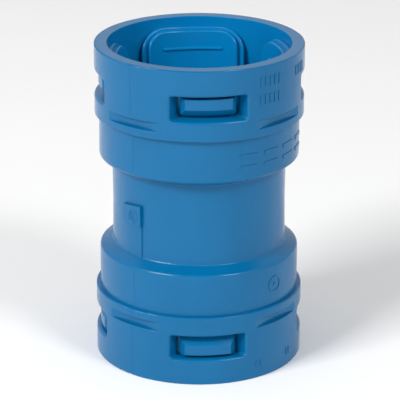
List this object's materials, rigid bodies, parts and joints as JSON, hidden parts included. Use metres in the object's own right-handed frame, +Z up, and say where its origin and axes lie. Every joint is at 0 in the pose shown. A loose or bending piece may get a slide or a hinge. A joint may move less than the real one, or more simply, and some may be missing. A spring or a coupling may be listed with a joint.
{
  "type": "push fit conduit coupling",
  "caption": "Waisted blue plastic push-fit coupling for corrugated conduit, with sprung grip clips inside both mouths and release blocks in the collar windows.",
  "frame": {"origin": "middle of the lower rim, on the surface that the coupling stands on", "axes": "+Z up the coupling's axis; -Y is the front, and the front clips and windows sit 5.4 degrees round from it towards +X"},
  "size_m": [0.0364, 0.0364, 0.0566],
  "materials": {
    "body_plastic": "satin moulded",
    "clip_plastic": "satin moulded"
  },
  "bodies": {
    "coupling": {"coupling_body": "body_plastic"},
    "upper_front_clip": {"upper_front_clip": "clip_plastic"},
    "upper_right_clip": {"upper_right_clip": "clip_plastic"},
    "upper_back_clip": {"upper_back_clip": "clip_plastic"},
    "upper_left_clip": {"upper_left_clip": "clip_plastic"},
    "lower_front_clip": {"lower_front_clip": "clip_plastic"},
    "lower_right_clip": {"lower_right_clip": "clip_plastic"},
    "lower_back_clip": {"lower_back_clip": "clip_plastic"},
    "lower_left_clip": {"lower_left_clip": "clip_plastic"}
  },
  "joints": [
    {"name": "upper_front_clip_flex", "type": "hinge", "parent": "coupling", "child": "upper_front_clip", "pos_m": [0.00152, -0.01608, 0.0535], "axis": [-0.9956, -0.0941, 0], "range_deg": [0, 7.5], "stiffness_Nm_per_rad": 0.6},
    {"name": "upper_right_clip_flex", "type": "hinge", "parent": "coupling", "child": "upper_right_clip", "pos_m": [0.01608, 0.00152, 0.0535], "axis": [0.0941, -0.9956, 0], "range_deg": [0, 7.5], "stiffness_Nm_per_rad": 0.6},
    {"name": "upper_back_clip_flex", "type": "hinge", "parent": "coupling", "child": "upper_back_clip", "pos_m": [-0.00152, 0.01608, 0.0535], "axis": [0.9956, 0.0941, 0], "range_deg": [0, 7.5], "stiffness_Nm_per_rad": 0.6},
    {"name": "upper_left_clip_flex", "type": "hinge", "parent": "coupling", "child": "upper_left_clip", "pos_m": [-0.01608, -0.00152, 0.0535], "axis": [-0.0941, 0.9956, 0], "range_deg": [0, 7.5], "stiffness_Nm_per_rad": 0.6},
    {"name": "lower_front_clip_flex", "type": "hinge", "parent": "coupling", "child": "lower_front_clip", "pos_m": [0.00152, -0.01608, 0.0031], "axis": [0.9956, 0.0941, 0], "range_deg": [0, 7.5], "stiffness_Nm_per_rad": 0.6},
    {"name": "lower_right_clip_flex", "type": "hinge", "parent": "coupling", "child": "lower_right_clip", "pos_m": [0.01608, 0.00152, 0.0031], "axis": [-0.0941, 0.9956, 0], "range_deg": [0, 7.5], "stiffness_Nm_per_rad": 0.6},
    {"name": "lower_back_clip_flex", "type": "hinge", "parent": "coupling", "child": "lower_back_clip", "pos_m": [-0.00152, 0.01608, 0.0031], "axis": [-0.9956, -0.0941, 0], "range_deg": [0, 7.5], "stiffness_Nm_per_rad": 0.6},
    {"name": "lower_left_clip_flex", "type": "hinge", "parent": "coupling", "child": "lower_left_clip", "pos_m": [-0.01608, -0.00152, 0.0031], "axis": [0.0941, -0.9956, 0], "range_deg": [0, 7.5], "stiffness_Nm_per_rad": 0.6}
  ]
}
